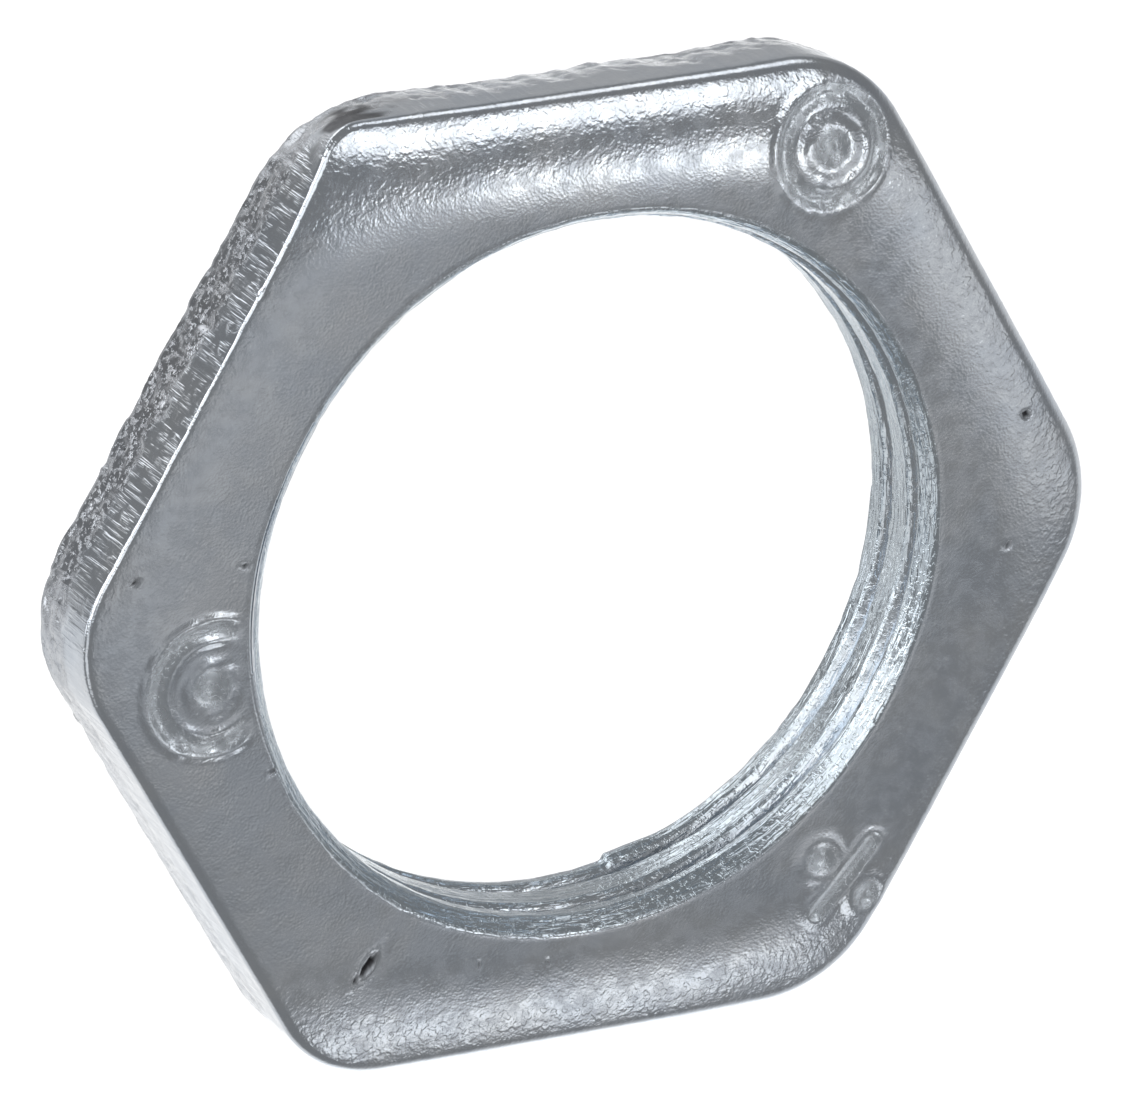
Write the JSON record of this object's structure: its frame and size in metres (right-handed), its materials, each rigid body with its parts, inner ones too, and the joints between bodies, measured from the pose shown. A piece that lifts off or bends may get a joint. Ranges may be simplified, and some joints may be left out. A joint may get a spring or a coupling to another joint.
{
  "type": "conduit locknut",
  "caption": "Hexagonal stamped-steel conduit locknut with a straight internal thread, a front lead-in cone and a flat bearing face.",
  "frame": {"origin": "on the bore axis, in the plane of the flat back (bearing) face", "axes": "+Z along the bore and out of the marked front face; +X through one hexagon corner; +Y square to a pair of flats"},
  "size_m": [0.0388, 0.035, 0.004],
  "materials": {
    "zinc_plated_steel": "satin bright zinc plate, bluish grey"
  },
  "bodies": {
    "root": {"locknut": "zinc_plated_steel"}
  },
  "joints": []
}
